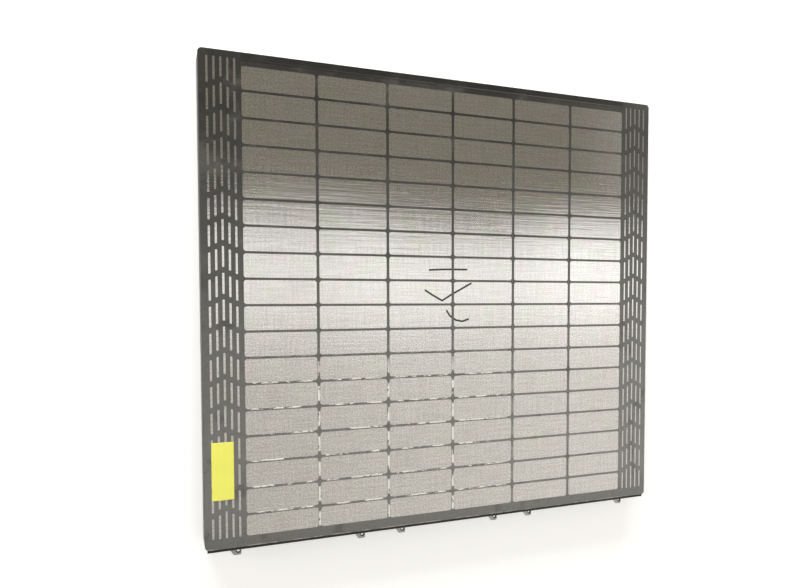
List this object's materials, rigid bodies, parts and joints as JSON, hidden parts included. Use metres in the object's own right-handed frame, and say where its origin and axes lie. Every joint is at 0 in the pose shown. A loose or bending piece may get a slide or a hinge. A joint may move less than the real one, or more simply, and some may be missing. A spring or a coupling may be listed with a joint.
{
  "type": "shaker screen",
  "caption": "Near-square screen panel for a shale shaker: moulded plastic grid frame, layered wire cloth fused over its ribs, slotted side bands and pierced locating lugs.",
  "frame": {"origin": "the middle of the frame's flat underside", "axes": "+X along the wider side, +Y from the lug edge towards the feed edge, +Z out of the wire cloth"},
  "size_m": [0.66, 0.623, 0.0406],
  "materials": {
    "frame_plastic": "dark grey glass-filled plastic",
    "grid_plastic": "grey plastic fused through the cloth",
    "coarse_cloth": "coarse stainless wire cloth",
    "fine_cloth": "fine stainless wire cloth",
    "label_paper": "pale yellow label, bare",
    "seal_rubber": "black rubber seal strip",
    "lug_steel": "zinc-plated pressed steel"
  },
  "bodies": {
    "root": {"frame_moulding": "frame_plastic", "fused_grid": "grid_plastic", "backing_cloth": "coarse_cloth", "middle_cloth": "fine_cloth", "top_cloth": "fine_cloth", "label": "label_paper", "edge_seal": "seal_rubber", "locating_lug_1": "lug_steel", "locating_lug_2": "lug_steel", "locating_lug_3": "lug_steel", "locating_lug_4": "lug_steel", "locating_lug_5": "lug_steel", "locating_lug_6": "lug_steel"}
  },
  "joints": []
}
